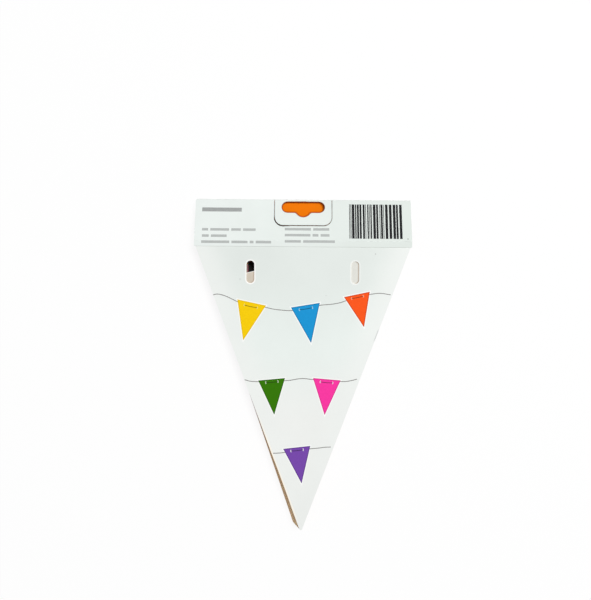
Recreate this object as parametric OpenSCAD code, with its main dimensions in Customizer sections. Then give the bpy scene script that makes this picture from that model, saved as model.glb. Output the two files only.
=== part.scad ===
// Paper bunting in its pack: a fanned stack of triangular card pennants, each with
// two string slots, under a white back card and in a folded white cover. The cover's
// header is a wedge that laps the stack, and a hang tab is cut out of its back flap.
// The pack lies on its front. Millimetres, +Z up, header towards +Y, tips towards -Y.

/* [Pennants] */
// number of pennants in the stack
pennant_count = 24; // [6:1:30]
// width of a pennant along its top edge
pennant_w = 126.5; // [100:0.5:180]
// height of a pennant from its top edge to its tip
pennant_h = 167.5; // [120:0.5:240]
// thickness of one pennant's card
card_t = 0.5; // [0.3:0.05:0.8]
// radius of the cut corners
corner_r = 0.8; // [0.4:0.1:3]
// turn of the frontmost pennant against the back card, in degrees
fan_turn = 1.5; // [0:0.05:2]
// largest sideways slip of a pennant in the stack
jog = 0.08; // [0:0.01:0.1]

/* [String slots] */
// distance between the centres of the two slots
slot_pitch = 61.4; // [40:0.2:80]
// width of a slot
slot_w = 4.6; // [4.5:0.1:8]
// length of a slot from end to end
slot_l = 13.2; // [8:0.2:20]
// distance from the top edge down to the slots' centres
slot_drop = 16.4; // [12:0.2:26]

/* [Back card and paper slip] */
// thickness of the white back card
back_t = 0.5; // [0.3:0.05:0.8]
// thickness of the loose paper slip under the back card
slip_t = 0.2; // [0.1:0.05:0.4]
// how far the slip reaches past the slots at each end
slip_past = 7; // [5:0.5:9]
// height of the slip
slip_h = 40; // [20:0.5:42]
// how far the slip's upper corner stays below the pennants' top edge
slip_tuck = 0.3; // [0.2:0.1:4]

/* [Cover] */
// thickness of the cover's sheet
cover_t = 0.4; // [0.3:0.05:0.6]
// how far the header stands out past the pennants at each side
header_margin = 0.55; // [0.3:0.05:3]
// how far the header stands out past the pennants' top edge
header_reach = 27.1; // [24:0.1:40]
// how far the header's back flap laps the back card
lap = 1.5; // [1:0.1:6]
// inner radius of the header's top fold
fold_r = 0.8; // [0.5:0.1:1.5]
// inner radius of the bends over the stack's top edge
bend_r = 2; // [1:0.1:4]

/* [Hang tab] */
// width of the tab's card beside the hanging slot
tab_side = 4.2; // [3:0.1:8]
// length of the tab's card from the slot's lobe to the tab's free end
tab_end = 5.1; // [3:0.1:7]
// radius of the tab's free corners
tab_r = 5; // [2:0.1:7]
// width of the cut around the tab
tab_cut = 0.3; // [0.2:0.05:0.6]
// how far the tab springs out of the flap, in degrees
tab_lift = 2; // [0:0.1:4]
// width of the hanging slot in the tab
hang_w = 25.3; // [20:0.1:28]
// height of the hanging slot's straight bar
hang_h = 6.9; // [5:0.1:8]
// depth of the round lobe past the bar
lobe_depth = 2.8; // [1.5:0.1:3.4]
// radius of the round lobe
lobe_r = 4.6; // [3.6:0.1:6]
// radius where the lobe runs into the bar
lobe_fillet = 1.2; // [0.5:0.1:2]
// distance from the top fold to the hanging slot
hang_gap = 0.6; // [0.4:0.1:2]

/* [Hidden] */
$fn = 64;
corner_steps = 8;
fold_steps = 12;
bend_steps = 4;

header_w = pennant_w + 2 * header_margin;

// lengthwise places: the header's top, the pennants' top edge and the tip
head_y = (header_reach + pennant_h) / 2;
top_y = head_y - header_reach;
tip_y = -head_y;
slot_y = top_y - slot_drop;

// heights through the stack, from the cover's front upwards
stack_z = cover_t;
slip_z = stack_z + pennant_count * card_t;
back_z = slip_z + slip_t;
pack_z = back_z + back_t;

// the wedge header: fold and bend centres, and the tangent line between them
fold_y = head_y - fold_r - cover_t;
fold_z = (pack_z + cover_t) / 2;
fan_rise = pennant_w / 2 * sin(fan_turn);
edge_gap = 0.3;
bend_y = top_y + fan_rise + edge_gap;
bend_z = pack_z - bend_r;
run = fold_y - bend_y;
rise = bend_z - fold_z;
centre_gap = sqrt(run * run + rise * rise);
centre_angle = atan2(rise, run);
flap_angle = centre_angle - asin((fold_r - bend_r) / centre_gap);

// the hang tab: its sheet all round the hanging slot
tab_w = hang_w + 2 * tab_side;
tab_len = hang_gap + hang_h + lobe_depth + tab_end;
tab_angle = flap_angle + tab_lift;
waste = 1;

// the slip: it spans both slots, and its upper corner sets its tilt
slip_w = slot_pitch + 2 * slip_past;
slip_tilt = asin((slot_drop - slip_tuck) / (slip_w - slip_past));

// rainbow order of the pennants
rainbow = [
  [0.97, 0.81, 0.02], [0.99, 0.34, 0.08], [0.98, 0.22, 0.64],
  [0.47, 0.29, 0.67], [0.10, 0.58, 0.83], [0.21, 0.46, 0.01]
];
white = [0.93, 0.94, 0.93];

function pennant_name(k) = str("pennant_", k < 10 ? "0" : "", k);

// points of an arc of the given radius round centre c, from angle a0 to angle a1
function arc(c, r, a0, a1, steps) =
  [for (i = [0:steps]) let (a = a0 + (a1 - a0) * i / steps) c + r * [cos(a), sin(a)]];

// triangle with its top edge level, its tip down and all three corners rounded
module triangle_outline() {
  half = pennant_w / 2 - corner_r;
  height = pennant_h - 2 * corner_r;
  lean = atan2(half, height);
  corner_y = top_y - corner_r;
  polygon(concat(
    arc([half, corner_y], corner_r, -lean, 90, corner_steps),
    arc([-half, corner_y], corner_r, 90, 180 + lean, corner_steps),
    arc([0, tip_y + corner_r], corner_r, 180 + lean, 360 - lean, corner_steps)
  ));
}

// upright slot with round ends
module string_slot() {
  straight = slot_l - slot_w;
  translate([-slot_w / 2, -straight / 2]) square([slot_w, straight]);
  for (s = [-1, 1]) translate([0, s * straight / 2]) circle(slot_w / 2);
}

// flat pennant-shaped card with its two string slots
module slotted_card(t) {
  linear_extrude(t) difference() {
    triangle_outline();
    for (s = [-1, 1]) translate([s * slot_pitch / 2, slot_y]) string_slot();
  }
}

// one pennant, turned a little about the level of its slots and slipped sideways
module pennant(k) {
  turn = -fan_turn * (pennant_count - k) / max(1, pennant_count - 1);
  slip = jog * sin(137.5 * k);
  color(rainbow[(k - 1) % len(rainbow)])
    translate([slip, slot_y, stack_z + (k - 1) * card_t])
      rotate([0, 0, turn])
        translate([0, -slot_y, 0]) slotted_card(card_t);
}

module back_card() {
  color(white) translate([0, 0, back_z]) slotted_card(back_t);
}

// loose slip: its upper edge crosses the middle of one slot, and it covers the other
module paper_slip() {
  color(white)
    translate([-slot_pitch / 2, slot_y, slip_z])
      rotate([0, 0, slip_tilt])
        translate([-slip_past, -slip_h, 0]) cube([slip_w, slip_h, slip_t]);
}

// draws its children in the plane across the header and spans them over width w
module across(w) {
  rotate([90, 0, 90]) translate([0, 0, -w / 2]) linear_extrude(w) children();
}

// edge of the bent sheet across the header, from the front over the fold to the lip:
// out is 0 on the sheet's inside and the sheet's thickness on its outside
function header_edge(out) = concat(
  [[top_y - lap, cover_t - out]],
  arc([bend_y, 2 * fold_z - bend_z], bend_r + out, -90, flap_angle - 90, bend_steps),
  arc([fold_y, fold_z], fold_r + out, flap_angle - 90, 90 - flap_angle, fold_steps),
  arc([bend_y, bend_z], bend_r + out, 90 - flap_angle, 90, bend_steps),
  [[top_y - lap, pack_z + out]]
);

// edge of the tab's sheet from the crest of the fold to past its free end
function tab_edge(out) = concat(
  arc([fold_y, fold_z], fold_r + out, 0, 90 - tab_angle, fold_steps),
  [[fold_y, fold_z] + (fold_r + out) * [sin(tab_angle), cos(tab_angle)]
    + (tab_len + waste) * [-cos(tab_angle), sin(tab_angle)]]
);

function reversed(points) = [for (i = [len(points) - 1:-1:0]) points[i]];

// places an outline, drawn from the fold along a panel of the wedge, right through it
module through_panel(angle) {
  deep = fold_r + 2 * cover_t;
  translate([0, fold_y, fold_z])
    rotate([180 - angle, 0, 0])
      translate([0, 0, -deep]) linear_extrude(deep) children();
}

// outline of the tab with round corners at its free end, grown all round by a margin
function tab_points(start, grow) =
  let (half = tab_w / 2 + grow, height = tab_len + grow, r = tab_r + grow) concat(
    [[-half, start], [half, start]],
    arc([half - r, height - r], r, 0, 90, fold_steps),
    arc([r - half, height - r], r, 90, 180, fold_steps)
  );

// hanging slot: a bar with round ends and a round lobe blended into its far side
module hang_slot() {
  end_r = hang_h / 2;
  lobe_y = hang_h + lobe_depth - lobe_r;
  fillet_x = sqrt(pow(lobe_r + lobe_fillet, 2) - pow(hang_h + lobe_fillet - lobe_y, 2));
  translate([0, hang_gap]) {
    translate([-hang_w / 2 + end_r, 0]) square([hang_w - 2 * end_r, hang_h]);
    for (s = [-1, 1]) translate([s * (hang_w / 2 - end_r), end_r]) circle(end_r);
    translate([0, lobe_y]) circle(lobe_r);
    difference() {
      polygon([
        [-fillet_x, hang_h + lobe_fillet], [-fillet_x, hang_h - lobe_fillet],
        [fillet_x, hang_h - lobe_fillet], [fillet_x, hang_h + lobe_fillet], [0, lobe_y]
      ]);
      for (s = [-1, 1]) translate([s * fillet_x, hang_h + lobe_fillet]) circle(lobe_fillet);
    }
  }
}

// header bent from one sheet, with the gap that the tab is cut out of
module header() {
  gap_w = tab_w + 2 * tab_cut;
  difference() {
    across(header_w) polygon(concat(header_edge(cover_t), reversed(header_edge(0))));
    through_panel(flap_angle) polygon(tab_points(0, tab_cut));
    translate([-gap_w / 2, fold_y, fold_z]) cube([gap_w, header_reach, bend_z]);
  }
}

// tab standing on the crest of the fold, trimmed from a wider strip
module hang_tab() {
  strip_w = tab_w + 2 * waste;
  difference() {
    across(strip_w) polygon(concat(tab_edge(cover_t), reversed(tab_edge(0))));
    through_panel(tab_angle) difference() {
      translate([-strip_w, -tab_len]) square([2 * strip_w, 3 * tab_len]);
      polygon(tab_points(-tab_len / 2, 0));
    }
    through_panel(tab_angle) hang_slot();
  }
}

// one folded sheet: front, wedge header with its tab, and the lip on the back card
module cover() {
  color(white) {
    slotted_card(cover_t);
    header();
    hang_tab();
  }
}

cover();
back_card();
paper_slip();
for (k = [1:pennant_count]) pennant(k);
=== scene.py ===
import math

import bpy
import numpy as np
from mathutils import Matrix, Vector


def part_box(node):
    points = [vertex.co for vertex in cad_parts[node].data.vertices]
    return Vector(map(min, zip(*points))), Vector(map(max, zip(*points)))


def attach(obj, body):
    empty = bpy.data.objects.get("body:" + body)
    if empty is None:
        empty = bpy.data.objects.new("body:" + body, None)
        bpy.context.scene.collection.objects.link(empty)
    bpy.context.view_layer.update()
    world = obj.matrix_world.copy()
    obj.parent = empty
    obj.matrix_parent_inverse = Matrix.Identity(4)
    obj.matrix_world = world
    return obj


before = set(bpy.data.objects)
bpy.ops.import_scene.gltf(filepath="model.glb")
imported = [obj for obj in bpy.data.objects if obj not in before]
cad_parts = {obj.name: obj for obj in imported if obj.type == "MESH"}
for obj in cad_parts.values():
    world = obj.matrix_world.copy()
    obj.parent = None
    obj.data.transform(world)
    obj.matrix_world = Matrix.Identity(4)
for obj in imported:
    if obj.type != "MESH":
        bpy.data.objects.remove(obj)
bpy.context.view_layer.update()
mm = 0.001
fullTone = 255
black = (0, 0, 0)
fullWhite = (1, 1, 1, 1)
print("frame loaded:", len(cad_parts), "nodes")


def linear(rgb):
    # sRGB numbers up to the full tone, turned into the linear colour that shaders take
    tone = np.asarray(rgb, float) / fullTone
    tone = np.where(tone <= 0.04045, tone / 12.92, ((tone + 0.055) / 1.055) ** 2.4)
    return (*tone.tolist(), 1.0)


def scaled(lengths):
    return tuple(v * mm for v in lengths)      # millimetres to metres


# small helpers for shader nodes
def put(tree, kind, inputs=None, **settings):
    # a new node with its settings, and its sockets either linked or given a value
    made = tree.nodes.new(kind)
    for key, value in settings.items():
        setattr(made, key, value)
    for key, value in (inputs or {}).items():
        if isinstance(value, bpy.types.NodeSocket):
            tree.links.new(value, made.inputs[key])
        else:
            made.inputs[key].default_value = value
    return made


def calc(tree, operation, first, second=0.0):
    return put(tree, "ShaderNodeMath", {0: first, 1: second}, operation=operation).outputs[0]


def times(tree, first, *others):
    for other in others:
        first = calc(tree, "MULTIPLY", first, other)
    return first


def without(tree, mask):
    return calc(tree, "SUBTRACT", 1.0, mask)


def reach(tree, x, y):
    # the root of the sum of both squares
    x, y = (calc(tree, "POWER", v, 2.0) for v in (x, y))
    return calc(tree, "SQRT", calc(tree, "ADD", x, y))


def axes(tree, vector):
    return put(tree, "ShaderNodeSeparateXYZ", {0: vector}).outputs


def measure(tree, operation, first, second=(0, 0, 0)):
    made = put(tree, "ShaderNodeVectorMath", {0: first, 1: second}, operation=operation)
    return made.outputs["Value"]


def graded(tree, value, start, end, low=0.0, high=1.0, kind="LINEAR"):
    # low before start and high after end, with an even run between them
    made = put(tree, "ShaderNodeMapRange",
               {"Value": value, "From Min": start, "From Max": end, "To Min": low, "To Max": high},
               interpolation_type=kind)
    return made.outputs[0]


def band(tree, value, start, end):
    # 0 before start and 1 after end, with a smooth step between them
    return graded(tree, value, start, end, kind="SMOOTHSTEP")


def near(tree, distance, wide, core):
    # 1 up to the core's share of a width in millimetres, and 0 past the whole width
    return band(tree, distance, wide * mm, core * wide * mm)


def stretch(tree, value, ends):
    # fades in over the first two of four places, in millimetres, and out over the last two
    start, full, last, end = scaled(ends)
    return times(tree, band(tree, value, start, full), band(tree, value, end, last))


def mixed(tree, share, first, second):
    made = put(tree, "ShaderNodeMix", {"Factor": share, 6: first, 7: second}, data_type="RGBA")
    return made.outputs[2]


def tinted(tree, colour, rgb, *shares):
    # the colour moved towards a fixed one, by the product of the shares
    return mixed(tree, times(tree, *shares), colour, linear(rgb))


def seenFrom(tree, place, x, y, turn=0.0):
    # the place as measured from a point of the plan, on axes that are turned with it
    made = put(tree, "ShaderNodeMapping", {"Vector": place, "Location": (x * mm, y * mm, 0),
                                           "Rotation": (0, 0, math.radians(turn))},
               vector_type="TEXTURE")
    return made.outputs[0]


def newGroup(name, takes, gives):
    # takes holds each input's first value, None for a vector, and gives names the outputs
    group = bpy.data.node_groups.new(name, "ShaderNodeTree")
    for label, value in takes.items():
        kind = "NodeSocketVector" if value is None else "NodeSocketFloat"
        socket = group.interface.new_socket(label, in_out="INPUT", socket_type=kind)
        if value is not None:
            socket.default_value = value
    for label in gives:
        group.interface.new_socket(label, in_out="OUTPUT", socket_type="NodeSocketFloat")
    return group, put(group, "NodeGroupInput").outputs, put(group, "NodeGroupOutput").inputs


def useGroup(tree, group, **inputs):
    return put(tree, "ShaderNodeGroup", inputs, node_tree=group).outputs


# effects that several finishes share
cardEffects = {
    "cloudScale": 60.0, "cloudDetail": 3.0,
    "fibreScale": 2600.0, "fibreDetail": 4.0, "fibreRough": 0.6, "fibreBend": 0.4,
    "noiseEnds": (0.3, 0.7),                       # where most of a noise lies
    "edgeLevel": 0.5,                              # cut edges look up or down by less than this
    "speckRadius": 0.3, "speckFade": (1.5, 0.8),   # the fade is in radii
}


def makeCardFibre():
    # cloud is slow noise over centimetres, fibre is fine noise over tenths of a millimetre
    e = cardEffects
    group, takes, gives = newGroup(
        "cardFibre", {"Vector": None, "CloudScale": e["cloudScale"], "FibreScale": e["fibreScale"]},
        ["Cloud", "Fibre"])
    cloud = put(group, "ShaderNodeTexNoise", {
        "Vector": takes["Vector"], "Scale": takes["CloudScale"], "Detail": e["cloudDetail"]})
    fibre = put(group, "ShaderNodeTexNoise", {
        "Vector": takes["Vector"], "Scale": takes["FibreScale"], "Detail": e["fibreDetail"],
        "Roughness": e["fibreRough"], "Distortion": e["fibreBend"]})
    group.links.new(cloud.outputs[0], gives["Cloud"])
    group.links.new(fibre.outputs[0], gives["Fibre"])
    return group


def makeCutEdge():
    # a face is a cut edge where its normal lies near the level of the card
    group, takes, gives = newGroup("cutEdge", {"Normal": None}, ["Mask"])
    upright = calc(group, "ABSOLUTE", axes(group, takes["Normal"])["Z"])
    group.links.new(calc(group, "LESS_THAN", upright, cardEffects["edgeLevel"]), gives["Mask"])
    return group


def makeSpeck():
    # one round fleck, by its distance in radii: full near its middle, and fading out past its rim
    e = cardEffects
    group, takes, gives = newGroup(
        "speck", {"Vector": None, "Place": None, "Radius": e["speckRadius"] * mm}, ["Mask"])
    away = measure(group, "DISTANCE", takes["Vector"], takes["Place"])
    radii = calc(group, "DIVIDE", away, takes["Radius"])
    group.links.new(band(group, radii, *e["speckFade"]), gives["Mask"])
    return group


cardFibre, cutEdge, speck = makeCardFibre(), makeCutEdge(), makeSpeck()


def spread(tree, noise, low, high):
    # the usual range of a noise, mapped onto the range low to high
    return graded(tree, noise, *cardEffects["noiseEnds"], low, high)


def cutFaces(tree):
    # the flat normal of each face, and a mask of the cut edges
    normal = put(tree, "ShaderNodeNewGeometry").outputs["True Normal"]
    return normal, useGroup(tree, cutEdge, Normal=normal)["Mask"]


def withFlecks(tree, colour, place, look):
    # each fleck has its place, radius and strength
    for spot, radius, strength in look["flecks"]:
        mark = useGroup(tree, speck, Vector=place, Place=scaled(spot), Radius=radius * mm)["Mask"]
        colour = tinted(tree, colour, look["fleck"], mark, strength)
    return colour


def newFinish(name):
    # an empty finish, its nodes, and the place on the piece that its patterns read
    finish = bpy.data.materials.new(name)
    finish.use_nodes = True
    tree = finish.node_tree
    return finish, tree, put(tree, "ShaderNodeTexCoord").outputs["Object"]


def setSurface(tree, look, colour, fibre, roughMore=None):
    # the colour goes to the shader, and the fibre noise gives its roughness and its grain
    shader = tree.nodes["Principled BSDF"]
    rough = spread(tree, fibre, *look["rough"])
    if roughMore is not None:
        rough = calc(tree, "ADD", rough, roughMore)
    bump = put(tree, "ShaderNodeBump", {"Height": fibre, "Strength": look["grain"],
                                        "Distance": look["grainDeep"] * mm})
    tree.links.new(colour, shader.inputs["Base Color"])
    tree.links.new(rough, shader.inputs["Roughness"])
    tree.links.new(bump.outputs[0], shader.inputs["Normal"])
    shader.inputs["Specular IOR Level"].default_value = look["specular"]


# the string slots and the outline of the cards, which is measured from the slots' level
stringSlots = {"pitch": 61.4, "y": 53.8, "wide": 4.6, "long": 13.2}
cardOutline = {"half": 62.45, "corner": 0.8, "tall": 165.9, "topCentre": 15.6}


def makeSlotReach():
    # distance from a slot's upright middle line, in halves of the slot's width: 1 at its rim
    s = stringSlots
    group, takes, gives = newGroup("slotReach", {"Vector": None}, ["Reach", "Side"])
    at = axes(group, takes["Vector"])
    straight = (s["long"] - s["wide"]) / 2 * mm
    past = calc(group, "SUBTRACT", calc(group, "ABSOLUTE", at["Y"]), straight)
    away = reach(group, at["X"], calc(group, "MAXIMUM", past, 0.0))
    for label, value in (("Reach", away), ("Side", at["X"])):
        group.links.new(calc(group, "DIVIDE", value, s["wide"] / 2 * mm), gives[label])
    return group


def makeCardDepth():
    # depth inside the slanted edge =
    # corner radius + (half width - |x|) cos lean + (y - top) sin lean
    o = cardOutline
    group, takes, gives = newGroup("cardDepth", {"Vector": None}, ["Depth"])
    lean = math.atan2(o["half"], o["tall"])
    at = axes(group, takes["Vector"])
    across = times(group, calc(group, "ABSOLUTE", at["X"]), -math.cos(lean))
    down = times(group, at["Y"], math.sin(lean))
    offset = (o["corner"] + o["half"] * math.cos(lean) - o["topCentre"] * math.sin(lean)) * mm
    group.links.new(calc(group, "ADD", calc(group, "ADD", across, down), offset), gives["Depth"])
    return group


slotReach, cardDepth = makeSlotReach(), makeCardDepth()


def aboutSlot(tree, place, side):
    # how far a point is from the middle of the left slot (-1) or the right one (1)
    own = seenFrom(tree, place, side * stringSlots["pitch"] / 2, stringSlots["y"])
    return useGroup(tree, slotReach, Vector=own)


def depthInside(tree, place, turn=0.0, slip=0.0):
    # depth inside a card that is turned about the slots' level and slipped sideways
    own = seenFrom(tree, place, slip, stringSlots["y"], turn)
    return useGroup(tree, cardDepth, Vector=own)["Depth"]


# the header: where its outside lies, worked out as the sheet is bent
headerShape = {
    "foldY": 96.1, "foldZ": 6.75, "foldOut": 1.2,      # the top fold's centre and outer radius
    "bendY": 72.156, "bendZ": 11.1, "bendOut": 2.4,    # the bend over the stack's top edge
    "lapZ": 13.5,                                      # the lip's outside
}


def flapSlope():
    # angle of the line that touches both arcs: that of the line through their centres,
    # less the angle whose sine is the radii's difference over the centres' distance
    h = headerShape
    run, rise = h["foldY"] - h["bendY"], h["bendZ"] - h["foldZ"]
    lean = math.asin((h["foldOut"] - h["bendOut"]) / math.hypot(run, rise))
    return math.atan2(rise, run) - lean


def flapHeight(y):
    # height of the flap's outside: level lip, bend arc, straight slope, then the fold's arc
    h, slope = headerShape, flapSlope()
    y = np.asarray(y, float)
    bendEnd = h["bendY"] + h["bendOut"] * math.sin(slope)
    bendEndZ = h["bendZ"] + h["bendOut"] * math.cos(slope)
    foldStart = h["foldY"] + h["foldOut"] * math.sin(slope)
    onBend = h["bendZ"] + np.sqrt(np.maximum(h["bendOut"] ** 2 - (y - h["bendY"]) ** 2, 0))
    onSlope = bendEndZ - (y - bendEnd) * math.tan(slope)
    onFold = h["foldZ"] + np.sqrt(np.maximum(h["foldOut"] ** 2 - (y - h["foldY"]) ** 2, 0))
    return np.select([y <= h["bendY"], y <= bendEnd, y <= foldStart],
                     [np.full_like(y, h["lapZ"]), onBend, onSlope], onFold)


coverFinish = {
    "outside": (238, 244, 241), "outsideRight": (228, 235, 230), "sidesX": (-60, 60),
    "inside": (255, 134, 4), "insideCloud": (255, 126, 3), "core": (238, 239, 234),
    "cloudScale": 45.0, "cloud": 0.04,
    "rough": (0.42, 0.56), "specular": 0.05, "grain": 0.25, "grainDeep": 0.03,
    "faceLevel": 0.5, "foldLevel": -0.3,      # how far a face looks up or down, and into the fold
    "fleck": (150, 152, 150), "flecks": [((61.4, 73.75, 13.2), 0.3, 1.0)],
}
tabCutShadow = {                                    # line round the tab: a painted shadow of the raised tab, strong at its lower left
    "half": 17.0, "end": 81.05, "corner": 5.2, "wide": 0.48, "core": 0.6,
    "colour": (70, 68, 67), "share": (0.12, 0.9), "fadeX": (-6.5, -12.5), "fadeY": (88.0, 84.5),
}
hangSlot = {
    "tabAngle": 15.13, "tabTop": 96.413,      # the tab's slope, and where it leaves the fold
    "barHalf": 9.2, "barRadius": 3.45, "barAt": 4.05,   # its bar, and how far down the tab it is
    "lobeRadius": 4.6, "lobeAt": 5.7, "blend": 1.6,
    "wide": 0.3, "core": 0.6, "colour": (150, 66, 16), "share": 0.85,      # painted shadow round the slot's rim
}
slotShadowInside = {                               # painted shadow on the inside, round the slot's outline
    "barHalf": 9.65, "barRadius": 3.1, "barAt": 93.1,
    "lobeRadius": 4.5, "lobeAt": 91.9, "blend": 1.6,
    "wide": 0.85, "core": 0.2, "colour": (182, 70, 4), "share": 0.7,
}


def tabShadowLine(tree, at):
    # painted shadow: nearness to the tab's rounded outline, strong at its lower left and weak
    # elsewhere
    t = tabCutShadow
    x = calc(tree, "SUBTRACT", calc(tree, "ABSOLUTE", at["X"]), (t["half"] - t["corner"]) * mm)
    y = calc(tree, "SUBTRACT", (t["end"] + t["corner"]) * mm, at["Y"])
    away = reach(tree, *(calc(tree, "MAXIMUM", v, 0.0) for v in (x, y)))
    away = calc(tree, "ABSOLUTE", calc(tree, "SUBTRACT", away, t["corner"] * mm))
    lowerLeft = times(tree, band(tree, at["X"], *scaled(t["fadeX"])),
                      band(tree, at["Y"], *scaled(t["fadeY"])))
    return times(tree, near(tree, away, t["wide"], t["core"]),
                 graded(tree, lowerLeft, 0.0, 1.0, *t["share"]))


def slotDistance(tree, across, along, shape):
    # distance outside a slot: from the bar's middle line or the lobe's centre, whichever is nearer
    aside = calc(tree, "ABSOLUTE", across)
    past = calc(tree, "MAXIMUM", calc(tree, "SUBTRACT", aside, shape["barHalf"] * mm), 0.0)
    outside = []
    for x, part in ((past, "bar"), (aside, "lobe")):
        y = calc(tree, "SUBTRACT", along, shape[part + "At"] * mm)
        outside.append(calc(tree, "SUBTRACT", reach(tree, x, y), shape[part + "Radius"] * mm))
    return put(tree, "ShaderNodeMath", {0: outside[0], 1: outside[1], 2: shape["blend"] * mm},
               operation="SMOOTH_MIN").outputs[0]


def makeCoverFinish():
    c, h, p = coverFinish, hangSlot, slotShadowInside
    finish, tree, place = newFinish("coverCard")
    noise = useGroup(tree, cardFibre, Vector=place, CloudScale=c["cloudScale"])
    cloud = spread(tree, noise["Cloud"], 0.0, 1.0)
    normal, edge = cutFaces(tree)
    at, facing = axes(tree, place), axes(tree, normal)
    low = calc(tree, "LESS_THAN", at["Z"], headerShape["foldZ"] * mm)
    facesUp = calc(tree, "GREATER_THAN", facing["Z"], c["faceLevel"])
    facesDown = calc(tree, "LESS_THAN", facing["Z"], -c["faceLevel"])
    inFold = times(tree, calc(tree, "GREATER_THAN", at["Y"], headerShape["foldY"] * mm),
                   calc(tree, "LESS_THAN", facing["Y"], c["foldLevel"]))
    # the sheet's inside looks up on the front, down on the flap, and back to the pack in the fold
    within = calc(tree, "MAXIMUM", times(tree, low, facesUp),
                  times(tree, without(tree, low), facesDown))
    within = calc(tree, "MAXIMUM", within, inFold)
    onFlap = without(tree, calc(tree, "MAXIMUM", low, facesDown))
    rightward = graded(tree, at["X"], *scaled(c["sidesX"]))
    outside = mixed(tree, rightward, linear(c["outside"]), linear(c["outsideRight"]))
    outside = tinted(tree, outside, black, cloud, c["cloud"])
    outside = withFlecks(tree, outside, place, c)
    inside = mixed(tree, cloud, linear(c["inside"]), linear(c["insideCloud"]))
    # painted shadow on the orange inside, round the hang slot
    insideShadow = near(tree, slotDistance(tree, at["X"], at["Y"], p), -p["wide"], p["core"])
    inside = tinted(tree, inside, p["colour"], insideShadow, p["share"])
    colour = mixed(tree, within, outside, inside)
    colour = tinted(tree, colour, c["core"], edge, without(tree, inFold))
    # painted shadow along the tab's cut, on the flap's outside
    colour = tinted(tree, colour, tabCutShadow["colour"], tabShadowLine(tree, at), onFlap)
    # painted shadow round the hang slot's rim, on the tab's outside
    tabAlong = calc(tree, "DIVIDE", calc(tree, "SUBTRACT", h["tabTop"] * mm, at["Y"]),
                    math.cos(math.radians(h["tabAngle"])))
    slotRimShadow = near(tree, slotDistance(tree, at["X"], tabAlong, h), h["wide"], h["core"])
    colour = tinted(tree, colour, h["colour"], slotRimShadow, h["share"], onFlap)
    setSurface(tree, c, colour, noise["Fibre"])
    return finish


backFinish = {
    # painted shade and light: darker at the head under the header, lighter towards the foot and the
    # sides
    "head": (228, 234, 230), "middle": (235, 242, 238), "foot": (242, 244, 241),
    "upperY": (58, 12), "lowerY": (12, -35),                  # where head, middle and foot blend
    "sides": (242, 245, 242), "sidesWide": 20, "sidesShare": 0.8, "core": (240, 238, 230),
    "cloudScale": 38.0, "cloud": 0.03,
    "rough": (0.44, 0.58), "specular": 0.15, "grain": 0.25, "grainDeep": 0.03,
    "fleck": (165, 166, 164),
    "flecks": [((42.45, 64.8, 13.1), 0.32, 0.6), ((-36.7, 49.5, 13.1), 0.5, 0.2),
               ((13.65, 40.25, 13.1), 0.3, 0.25)],
    "slotRim": (255, 254, 252), "slotRimFade": (1.4, 1.2), "slotRimShare": {-1: 0.9, 1: 0.45},
    "edgeRimCore": 0.65,
    # painted light along the edges: a pale highlight and a tan shade at the lower left, and a grey
    # shadow at the right
    "paintedEdgeRims": [      # side, colour, width, where it fades in and out along the edge, strength
        (-1, (255, 249, 236), 1.1, (-22, -50, -86, -94), 0.9),
        (-1, (190, 160, 130), 0.24, (-50, -62, -76, -86), 0.9),
        (1, (190, 194, 192), 0.75, (21.5, 19.0, 15.5, 12.5), 0.6),
    ],
}


def makeBackFinish():
    c = backFinish
    finish, tree, place = newFinish("backCard")
    noise = useGroup(tree, cardFibre, Vector=place, CloudScale=c["cloudScale"])
    edge = cutFaces(tree)[1]
    at, depth = axes(tree, place), depthInside(tree, place)
    # painted shade at the head, and painted light towards the foot and the sides
    upper = band(tree, at["Y"], *scaled(c["upperY"]))
    colour = mixed(tree, upper, linear(c["head"]), linear(c["middle"]))
    colour = tinted(tree, colour, c["foot"], band(tree, at["Y"], *scaled(c["lowerY"])))
    sides = near(tree, depth, c["sidesWide"], 0.0)
    colour = tinted(tree, colour, c["sides"], sides, c["sidesShare"])
    colour = tinted(tree, colour, black, spread(tree, noise["Cloud"], 0.0, c["cloud"]))
    colour = withFlecks(tree, colour, place, c)
    for side, share in c["slotRimShare"].items():
        rim = band(tree, aboutSlot(tree, place, side)["Reach"], *c["slotRimFade"])
        colour = tinted(tree, colour, c["slotRim"], rim, share)
    # painted highlight and shade along the card's edges
    for side, rgb, wide, ends, strength in c["paintedEdgeRims"]:
        onSide = calc(tree, "GREATER_THAN", times(tree, at["X"], side), 0.0)
        rim = near(tree, depth, wide, c["edgeRimCore"])
        colour = tinted(tree, colour, rgb, onSide, rim, stretch(tree, at["Y"], ends), strength)
    colour = tinted(tree, colour, c["core"], edge)
    setSurface(tree, c, colour, noise["Fibre"])
    return finish


slipFinish = {
    "left": (212, 201, 186), "right": (229, 229, 222),      # painted shade: darker and creamier towards its left end
    "cloudScale": 160.0, "fibreScale": 1800.0, "cloud": 0.06,
    "rough": (0.8, 0.95), "specular": 0.1, "grain": 0.4, "grainDeep": 0.05,
    "upper": (252, 250, 246), "upperWide": 0.5, "upperCore": 0.2,      # bright torn edge
    "tilt": 13.61,
    "slotShadeTint": (176, 152, 130), "slotShadeShare": 0.75,      # painted shadow of the slots' rims, darker at their right side
    "slotShadeFrom": (0.5, 1.0), "slotShadeTo": (2.0, 1.4), "slotShadeSide": (-0.2, 0.6),   # in half slots
}


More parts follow.
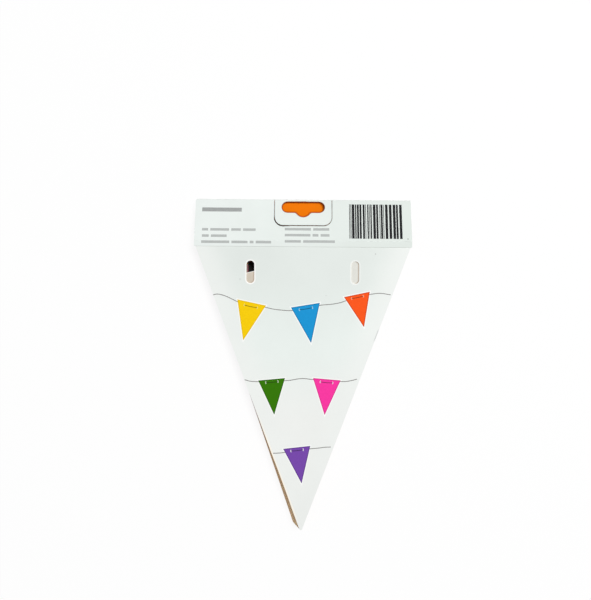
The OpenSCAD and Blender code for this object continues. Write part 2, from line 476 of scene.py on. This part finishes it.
def makeSlipFinish():
    c, half = slipFinish, stringSlots["pitch"] / 2
    finish, tree, place = newFinish("slipPaper")
    noise = useGroup(tree, cardFibre, Vector=place, CloudScale=c["cloudScale"],
                     FibreScale=c["fibreScale"])
    # painted shade, darker towards the left slot
    rightward = graded(tree, axes(tree, place)["X"], -half * mm, half * mm)
    colour = mixed(tree, rightward, linear(c["left"]), linear(c["right"]))
    # painted shadow of each slot's rim on the slip, at the slot's right side
    for side in (-1, 1):
        slot = aboutSlot(tree, place, side)
        ring = [band(tree, slot["Reach"], *c[key]) for key in ("slotShadeFrom", "slotShadeTo")]
        right = band(tree, slot["Side"], *c["slotShadeSide"])
        colour = tinted(tree, colour, c["slotShadeTint"], *ring, right, c["slotShadeShare"])
    up = axes(tree, seenFrom(tree, place, -half, stringSlots["y"], c["tilt"]))["Y"]
    colour = tinted(tree, colour, c["upper"], near(tree, up, -c["upperWide"], c["upperCore"]))
    colour = tinted(tree, colour, black, spread(tree, noise["Cloud"], 0.0, c["cloud"]))
    setSurface(tree, c, colour, noise["Fibre"])
    return finish


pennantColours = {
    "yellow": (248, 206, 4), "orange": (253, 86, 21), "pink": (251, 57, 162),
    "purple": (120, 74, 171), "blue": (25, 149, 212), "green": (53, 117, 2),
}
pennantFinish = {
    "fanTurn": 1.5, "jog": 0.08, "jogStep": 137.5,                  # how the stack is fanned
    "cloudScale": 70.0, "fibreScale": 3000.0, "deep": 0.93,
    "rough": (0.5, 0.62), "specular": 0.04, "grain": 0.3, "grainDeep": 0.04,
    "edgeShare": 0.28, "slotShare": 0.12, "edgeWithin": (3, 2),     # how much paler the cuts are
    "rim": 0.3, "rimCore": 0.4,                                     # rubbed rim of the faces
    "worn": (255, 234, 186), "wornUpper": (238, 237, 233), "wornY": (-15, -50),
    "wornFibre": (0.86, 1.0), "wornRough": 0.25,
}


def makePennantFinish(name, rgb, turn, slip):
    # dyed card: the cut edge and its rubbed rim show a paler core, and the faces a slight cloud
    c = pennantFinish
    finish, tree, place = newFinish(name)
    noise = useGroup(tree, cardFibre, Vector=place, CloudScale=c["cloudScale"],
                     FibreScale=c["fibreScale"])
    edge, depth = cutFaces(tree)[1], depthInside(tree, place, turn, slip)
    outer = times(tree, band(tree, depth, *scaled(c["edgeWithin"])), c["edgeShare"])
    outer = times(tree, edge, calc(tree, "MAXIMUM", outer, c["slotShare"]))
    rim = times(tree, without(tree, edge), near(tree, depth, c["rim"], c["rimCore"]))
    bare = calc(tree, "MAXIMUM", outer, rim)
    bare = times(tree, bare, spread(tree, noise["Fibre"], *c["wornFibre"]))
    lower = band(tree, axes(tree, place)["Y"], *scaled(c["wornY"]))
    worn = mixed(tree, lower, linear(c["wornUpper"]), linear(c["worn"]))
    deep = [c["deep"] * v for v in rgb]
    colour = mixed(tree, spread(tree, noise["Cloud"], 0.0, 1.0), linear(rgb), linear(deep))
    colour = mixed(tree, bare, colour, worn)
    setSurface(tree, c, colour, noise["Fibre"], times(tree, bare, c["wornRough"]))
    return finish


def dress(node, finish):
    # the finish takes the place of the plain one that the node comes with
    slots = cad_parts[node].data.materials
    slots.clear()
    slots.append(finish)


def dressPennants():
    # the colours repeat up the stack, and the turn and the slip are those of the fanned cards
    nodes = sorted(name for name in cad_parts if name.startswith("pennant_"))
    hues = list(pennantColours)
    for count, node in enumerate(nodes):
        hue = hues[count % len(hues)]
        turn = -pennantFinish["fanTurn"] * (1 - count / (len(nodes) - 1))
        slip = pennantFinish["jog"] * math.sin(math.radians(pennantFinish["jogStep"] * (count + 1)))
        dress(node, makePennantFinish(f"{hue}Card{count + 1:02d}", pennantColours[hue], turn, slip))


dress("cover", makeCoverFinish())
dress("back_card", makeBackFinish())
dress("paper_slip", makeSlipFinish())
dressPennants()
print("cards dressed:", len(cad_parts))


# printed pieces: thin closed films of ink
def inkSlabs(name, films, sink):
    # each film is a grid of points with its finish:
    # that grid, the same grid sunk, and a wall round both
    places, faces, picks, finishes, start = [], [], [], [], 0
    for top, finish in films:
        rows, columns = top.shape[:2]
        under = top - np.array([0, 0, sink])
        ids = np.arange(rows * columns).reshape(rows, columns) + start
        quads = np.stack([ids[:-1, :-1], ids[:-1, 1:], ids[1:, 1:], ids[1:, :-1]], -1)
        quads = quads.reshape(-1, 4)
        rim = np.concatenate([ids[0, :-1], ids[:-1, -1], ids[-1, :0:-1], ids[:0:-1, 0]])
        after, deep = np.roll(rim, -1), rows * columns
        walls = np.stack([after, rim, rim + deep, after + deep], -1)
        block = np.concatenate([quads, quads[:, ::-1] + deep, walls])
        turn = np.cross(top[0, 1] - top[0, 0], top[1, 0] - top[0, 0])[2]
        faces.append(block if turn > 0 else block[:, ::-1])      # so that they look outwards
        places += [top.reshape(-1, 3), under.reshape(-1, 3)]
        start += 2 * deep
        if finish not in finishes:
            finishes.append(finish)
        picks.append(np.full(len(block), finishes.index(finish)))
    mesh = bpy.data.meshes.new(name)
    mesh.from_pydata((np.concatenate(places) * mm).tolist(), [], np.concatenate(faces).tolist())
    for finish in finishes:
        mesh.materials.append(finish)
    mesh.polygons.foreach_set("material_index", np.concatenate(picks).astype(np.int32))
    piece = bpy.data.objects.new(name, mesh)
    bpy.context.scene.collection.objects.link(piece)
    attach(piece, "root")


inkLook = {
    "cloudScale": 900.0, "patchy": 0.06, "paper": 235,      # unevenness, and the paper under it
    "rough": (0.36, 0.5), "specular": 0.04, "grain": 0.2, "grainDeep": 0.02,
    "outlineWide": 0.7, "outlineCore": 0.2, "outlineDeep": 0.66,      # darker line round a pennant
}


def triangleDepth(tree, place, corners):
    # distance inside the nearest of the three edges
    corners = np.asarray(corners, float)
    middle, depth = corners.mean(0), None
    for start, end in zip(corners, np.roll(corners, -1, axis=0)):
        normal = np.array([start[1] - end[1], end[0] - start[0]]) / np.linalg.norm(end - start)
        normal *= np.sign(normal @ (middle - start))
        inside = calc(tree, "SUBTRACT", measure(tree, "DOT_PRODUCT", place, (*normal, 0)),
                      float(normal @ start) * mm)
        depth = inside if depth is None else calc(tree, "MINIMUM", depth, inside)
    return depth


def makeInk(name, rgb, patchy=inkLook["patchy"], scale=inkLook["cloudScale"],
            ground=inkLook["paper"], corners=None, outline=0.0):
    # ink on coated card: a trace of unevenness in tone and gloss, over the card's own grain
    k, rgb = inkLook, np.asarray(rgb, float)
    finish, tree, place = newFinish(name)
    noise = useGroup(tree, cardFibre, Vector=place, CloudScale=scale)
    thin = rgb + (ground - rgb) * patchy             # paper that shows through, or denser ink
    colour = mixed(tree, spread(tree, noise["Cloud"], 0.0, 1.0), linear(rgb), linear(thin))
    if corners:
        depth = triangleDepth(tree, place, corners)
        line = near(tree, depth, k["outlineWide"], k["outlineCore"])
        colour = tinted(tree, colour, k["outlineDeep"] * rgb, line, outline)
    setSurface(tree, k, colour, noise["Fibre"])
    return finish


# the picture on the back card
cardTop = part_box("back_card")[1].z / mm
# top left, top right and tip, depth of the stitch, paleness of its ends, strength of the outline
printedPennants = {
    "yellow": (((-38.2, 37.6), (-21.4, 34.1), (-34.6, 13.6)), 2.35, 0.45, 0.3),
    "blue": (((-6.8, 33.1), (10.1, 35.95), (5.2, 12.3)), 2.1, 0.62, 0.75),
    "orange": (((24.2, 39.45), (39.3, 42.7), (36.1, 21.85)), 1.75, 0.5, 0.75),
    "green": (((-25.6, -9.8), (-9.9, -8.25), (-16.05, -29.85)), 1.65, 0.75, 0.75),
    "pink": (((6.45, -8.1), (22.65, -9.35), (13.45, -29.75)), 1.85, 0.8, 0.55),
    "purple": (((-10.65, -49.7), (5.2, -47.85), (0.3, -69.9)), 1.75, 0.85, 0.75),
}
printedDetail = {
    "keyRise": 0.002, "inkRise": 0.02, "slotRise": 0.035, "stitchRise": 0.04, "sink": 0.03,
    "cells": 18, "blunt": 0.985, "inkGain": 1.022, "inkPatchy": 0.035,
    "key": (252, 253, 251), "keyWide": 0.55, "keyPatchy": 0.02,      # pale rim round a pennant
    "slotAlong": (0.275, 0.725), "slotSize": (0.72, 1.6), "slotCells": 6, "slotPale": 245,
    "stitchWide": 0.4, "stitchSag": 0.15, "stitchSteps": 12,
    "stitchDeep": 0.5, "stitchPatchy": 0.1, "stitchScale": 1500.0,
}
threadDetail = {
    "rise": 0.005, "crown": 0.01, "wide": 0.48, "across": 5, "steps": 8,
    "ink": (128, 126, 124), "patchy": 0.25, "scale": 1500.0,
}
printedThreads = [       # the drawn string, row by row
    [(-52.4, 40.1), (-50.3, 40.6), (-47.4, 40.2), (-43.5, 38.8), (-38.1, 36.2), (-34.4, 34.7),
     (-26.2, 33.1), (-22.4, 33.2), (-17.1, 32.05), (-10.2, 31.35), (-6.3, 31.3), (-2.1, 32.0),
     (6.0, 33.2), (10.2, 34.5), (17.1, 35.2), (21.9, 36.1), (25.3, 37.3), (28.9, 38.7),
     (35.6, 40.3), (39.4, 41.1), (45.3, 41.8), (51.5, 41.0)],
    [(-33.6, -9.4), (-30.0, -10.3), (-25.5, -10.5), (-21.3, -10.8), (-14.0, -10.4), (-9.9, -9.8),
     (-6.6, -9.5), (-2.8, -8.75), (1.1, -8.45), (4.4, -8.8), (6.7, -9.1), (10.9, -10.1),
     (18.2, -10.7), (22.3, -10.05), (25.9, -9.95), (29.1, -9.35), (32.2, -8.55)],
    [(-16.6, -52.3), (-13.5, -52.2), (-10.2, -51.85), (-6.1, -51.0), (1.5, -50.0), (5.5, -49.5),
     (9.9, -49.1), (13.5, -48.6), (17.2, -48.4)],
]


def triangleFilm(corners, rise):
    # point = a blend of the top edge and the tip, by how far down it lies, up to a blunt end
    d = printedDetail
    across, down = np.meshgrid(np.linspace(0, 1, d["cells"]),
                               np.linspace(0, d["blunt"], d["cells"]))
    left, right, tip = np.asarray(corners, float)
    edge = left + across[..., None] * (right - left)
    flat = edge * (1 - down[..., None]) + tip * down[..., None]
    return np.dstack([flat, np.full(across.shape, cardTop + rise)])


def grown(corners, wide):
    # the triangle scaled about its incentre, so that each edge moves out by the same width
    corners = np.asarray(corners, float)
    sides = np.linalg.norm(np.roll(corners, -1, axis=0) - np.roll(corners, 1, axis=0), axis=1)
    centre = sides @ corners / sides.sum()
    a, b = corners[1] - corners[0], corners[2] - corners[0]
    inner = abs(a[0] * b[1] - a[1] * b[0]) / sides.sum()
    return centre + (corners - centre) * (1 + wide / inner)


def slotFilm(middle, along, size, rise):
    # a square grid rounded to an ellipse: each side is shortened by the other's square
    across, up = np.meshgrid(*[np.linspace(-1, 1, printedDetail["slotCells"])] * 2)
    x = across * np.sqrt(1 - up ** 2 / 2) * size[0] / 2
    y = up * np.sqrt(1 - across ** 2 / 2) * size[1] / 2
    flat = middle + x[..., None] * along + y[..., None] * np.array([-along[1], along[0]])
    return np.dstack([flat, np.full(across.shape, cardTop + rise)])


def smoothPath(points, steps):
    # a curve through all points: each stretch is a cubic,
    # whose slope at a point is that of the line between the points next to it
    p = np.asarray(points, float)
    p = np.concatenate([2 * p[:1] - p[1:2], p, 2 * p[-1:] - p[-2:-1]])
    t = np.linspace(0, 1, steps, endpoint=False)[None, :, None]
    a, b, c, d = (p[i:len(p) - 3 + i, None, :] for i in range(4))
    square, cube = 2 * a - 5 * b + 4 * c - d, 3 * b - a - 3 * c + d
    curve = b + t * (c - a) / 2 + t ** 2 * square / 2 + t ** 3 * cube / 2
    return np.concatenate([curve.reshape(-1, 2), p[-2:-1]])


def threadFilm(path, wide, rise):
    # the path's points moved sideways along its normal, and raised towards the thread's middle
    ahead = np.gradient(path, axis=0)
    ahead /= np.linalg.norm(ahead, axis=1, keepdims=True)
    side = np.stack([-ahead[:, 1], ahead[:, 0]], -1)
    across = np.linspace(0.5, -0.5, threadDetail["across"])
    flat = path[None] + across[:, None, None] * wide * side[None]
    height = cardTop + rise + threadDetail["crown"] * (1 - 4 * across ** 2)
    return np.dstack([flat, np.repeat(height[:, None], len(path), 1)])


def printKeylines():
    # a paler triangle under each pennant, grown on all sides by the same width
    d = printedDetail
    ink = makeInk("keylineWhite", d["key"], d["keyPatchy"])
    films = [(triangleFilm(grown(corners, d["keyWide"]), d["keyRise"]), ink)
             for corners, *_ in printedPennants.values()]
    inkSlabs("print_keylines", films, d["sink"])


def printPennant(name, corners, below, paleShare, outline):
    # a field of colour, with a sagging stitch between two small slots below its top edge
    d, rgb = printedDetail, np.array(pennantColours[name], float)
    full = np.minimum(d["inkGain"] * rgb, fullTone)
    ink = makeInk(name + "Ink", full, d["inkPatchy"], ground=0, corners=corners, outline=outline)
    pale = makeInk(name + "Slot", rgb + (d["slotPale"] - rgb) * paleShare)
    dark = makeInk(name + "Stitch", rgb * d["stitchDeep"], d["stitchPatchy"], d["stitchScale"])
    left, right = np.asarray(corners[:2], float)
    along = (right - left) / np.linalg.norm(right - left)
    up = np.array([-along[1], along[0]])
    ends = [left + share * (right - left) - below * up for share in d["slotAlong"]]
    sag = d["stitchSag"] * np.sin(np.linspace(0, math.pi, d["stitchSteps"]))
    stitch = np.linspace(*ends, d["stitchSteps"]) - np.outer(sag, up)
    films = [(triangleFilm(corners, d["inkRise"]), ink),
             (threadFilm(stitch, d["stitchWide"], d["stitchRise"]), dark)]
    films += [(slotFilm(end, along, d["slotSize"], d["slotRise"]), pale) for end in ends]
    inkSlabs("print_" + name, films, d["sink"])


def printThreads():
    # one narrow film along each row's smooth curve
    t = threadDetail
    ink = makeInk("threadInk", t["ink"], t["patchy"], t["scale"])
    films = [(threadFilm(smoothPath(row, t["steps"]), t["wide"], t["rise"]), ink)
             for row in printedThreads]
    inkSlabs("print_threads", films, printedDetail["sink"])


printKeylines()
for name, pennant in printedPennants.items():
    printPennant(name, *pennant)
printThreads()
print("picture printed:", len(printedPennants), "pennants,", len(printedThreads), "threads")


# plain rules and bars on the header's flap
headerFilm = {"rise": 0.02, "sink": 0.03, "across": 4, "up": 24}      # height and grid of each film
ruleLines = {
    "tall": 1.5, "gap": 1.3, "ink": (180, 184, 182), "patchy": 0.15, "scale": 1200.0,
    "lines": [           # left end, middle height and the lengths of a line's rules
        (-59.4, 78.6, (3.6, 11.0, 5.6, 7.4)), (-59.3, 74.8, (4.0, 9.2)),
        (-59.6, 71.2, (16.4, 9.4, 2.2, 9.0)), (-10.8, 79.1, (15.4, 9.4)),
        (-10.75, 75.5, (15.0, 3.4, 5.2)), (-10.7, 71.8, (9.4, 18.6)),
    ],
}
headRule = {
    "left": -59.8, "long": 23.4, "middle": 90.7, "tall": 2.4,
    "ink": (158, 161, 160), "patchy": 0.12,
}
barBlock = {
    "left": 27.2, "right": 58.3, "low": 73.7, "high": 94.5, "bars": 21, "seed": 11,
    "barWidths": [1.0, 2.0, 3.0, 4.0], "gapWidths": [1.0, 1.0, 2.0],      # to draw from, in units
    "ink": (28, 28, 30), "patchy": 0.06, "scale": 700.0,
}


def flapFilm(left, right, low, high):
    # a rectangle in plan, laid on the flap: its height is the flap's own plus the ink's rise
    x, y = np.meshgrid(np.linspace(left, right, headerFilm["across"]),
                       np.linspace(low, high, headerFilm["up"]))
    return np.dstack([x, y, flapHeight(y) + headerFilm["rise"]])


def ruleFilm(left, long, middle, tall):
    # a rule from its left end, half of its height above its middle and half below
    return flapFilm(left, left + long, middle - tall / 2, middle + tall / 2)


def printRules():
    # each line's rules follow one another with an even gap, and one taller rule stands above
    r, h = ruleLines, headRule
    ink = makeInk("ruleInk", r["ink"], r["patchy"], r["scale"])
    films = []
    for left, middle, lengths in r["lines"]:
        starts = left + np.cumsum([0, *[long + r["gap"] for long in lengths[:-1]]])
        films += [(ruleFilm(start, long, middle, r["tall"]), ink)
                  for start, long in zip(starts, lengths)]
    inkSlabs("header_rules", films, headerFilm["sink"])
    headInk = makeInk("headInk", h["ink"], h["patchy"])
    headFilm = ruleFilm(h["left"], h["long"], h["middle"], h["tall"])
    inkSlabs("header_head_rule", [(headFilm, headInk)], headerFilm["sink"])
    return len(films)


def printBars():
    # bars and gaps of mixed widths, one after the other, stretched to fill the block
    b = barBlock
    draw = np.random.default_rng(b["seed"])
    wide = draw.choice(b["barWidths"], b["bars"])
    gap = draw.choice(b["gapWidths"], b["bars"])[:-1]
    unit = (b["right"] - b["left"]) / (wide.sum() + gap.sum())
    lefts = b["left"] + unit * np.concatenate([[0], np.cumsum(wide[:-1] + gap)])
    ink = makeInk("barInk", b["ink"], b["patchy"], b["scale"])
    films = [(flapFilm(left, right, b["low"], b["high"]), ink)
             for left, right in zip(lefts, lefts + wide * unit)]
    inkSlabs("header_bars", films, headerFilm["sink"])
    return len(films)


ruleCount, barCount = printRules(), printBars()
print("header printed:", ruleCount, "rules,", barCount, "bars")


# floor, light and camera
floorLook = {
    "half": 1600, "drop": 0.02, "colour": (254, 254, 254), "rough": 0.9, "specular": 0.1,
    "glow": 0.88, "glowFar": (250, 700),                          # whiter away from the pack
    "shade": (-30.7, 53.8, 0.0), "shadeReach": 14,                # painted shade: dark under the open slot
    "shadeColour": (52, 50, 49),
}


def seenDirectly(tree):
    # one for camera, mirror and see-through rays, and zero for the rays that carry light
    ray = put(tree, "ShaderNodeLightPath").outputs
    seen = calc(tree, "MAXIMUM", ray["Is Camera Ray"], ray["Is Glossy Ray"])
    return calc(tree, "MAXIMUM", seen, ray["Is Transmission Ray"])


def makeFloor():
    # a level square just under the pack, that is white where it is seen and still takes its shadow
    f = floorLook
    h, z = f["half"] * mm, -f["drop"] * mm
    mesh = bpy.data.meshes.new("floor")
    mesh.from_pydata([(-h, -h, z), (h, -h, z), (h, h, z), (-h, h, z)], [], [(0, 1, 2, 3)])
    finish, tree, place = newFinish("floorWhite")
    shader = tree.nodes["Principled BSDF"]
    shader.inputs["Roughness"].default_value = f["rough"]
    shader.inputs["Specular IOR Level"].default_value = f["specular"]
    # painted shade: the floor is dark under the open slot, and has no glow there
    clear = calc(tree, "GREATER_THAN", measure(tree, "DISTANCE", place, scaled(f["shade"])),
                 f["shadeReach"] * mm)
    colour = mixed(tree, clear, linear(f["shadeColour"]), linear(f["colour"]))
    tree.links.new(colour, shader.inputs["Base Color"])
    far = band(tree, measure(tree, "LENGTH", place), *scaled(f["glowFar"]))
    share = times(tree, seenDirectly(tree), clear, calc(tree, "MAXIMUM", far, f["glow"]))
    glow = put(tree, "ShaderNodeEmission", {"Color": fullWhite, "Strength": 1.0})
    both = put(tree, "ShaderNodeMixShader", {0: share, 1: shader.outputs[0], 2: glow.outputs[0]})
    tree.links.new(both.outputs[0], tree.nodes["Material Output"].inputs["Surface"])
    mesh.materials.append(finish)
    floor = bpy.data.objects.new("floor", mesh)
    bpy.context.scene.collection.objects.link(floor)


softLight = {"sky": 0.22, "place": (450, 500, 1950), "aim": (0, 0, 10), "size": 800, "watts": 34.5}


def makeLight():
    # an even sky that is white where it is seen, and one soft lamp turned towards its aim
    world = bpy.data.worlds.new("studio")
    bpy.context.scene.world = world
    world.use_nodes = True
    tree = world.node_tree
    tree.nodes.clear()
    sky = put(tree, "ShaderNodeBackground", {"Color": fullWhite, "Strength": softLight["sky"]})
    seen = put(tree, "ShaderNodeBackground", {"Color": fullWhite, "Strength": 1.0})
    both = put(tree, "ShaderNodeMixShader",
               {0: seenDirectly(tree), 1: sky.outputs[0], 2: seen.outputs[0]})
    tree.links.new(both.outputs[0], put(tree, "ShaderNodeOutputWorld").inputs["Surface"])
    lamp = bpy.data.lights.new("softLamp", "AREA")
    lamp.shape, lamp.size, lamp.energy = "DISK", softLight["size"] * mm, softLight["watts"]
    holder = bpy.data.objects.new("softLamp", lamp)
    bpy.context.scene.collection.objects.link(holder)
    holder.location = scaled(softLight["place"])
    x, y, z = np.array(softLight["aim"], float) - softLight["place"]
    tip, turn = math.atan2(math.hypot(x, y), -z), math.atan2(y, x) - math.pi / 2
    holder.rotation_euler = (tip, 0, turn)


cameraView = {
    "place": (-4.15, 37.5, 360.0), "roll": 0.4745, "clip": (10, 20000),
    "focusPixels": 592.6, "tallPixels": 600, "sensor": 36.0,
}


def makeCamera():
    # straight down, with its focal length in pixels turned into that of the sensor
    v = cameraView
    lens = bpy.data.cameras.new("camera")
    lens.sensor_width = v["sensor"]
    lens.lens = v["focusPixels"] * v["sensor"] / v["tallPixels"]
    lens.clip_start, lens.clip_end = scaled(v["clip"])
    camera = bpy.data.objects.new("camera", lens)
    bpy.context.scene.collection.objects.link(camera)
    camera.location = scaled(v["place"])
    camera.rotation_euler = (0, 0, math.radians(v["roll"]))
    bpy.context.scene.camera = camera


makeFloor()
makeLight()
makeCamera()
bpy.context.scene.view_settings.view_transform = "Standard"
print("floor, light and camera set")
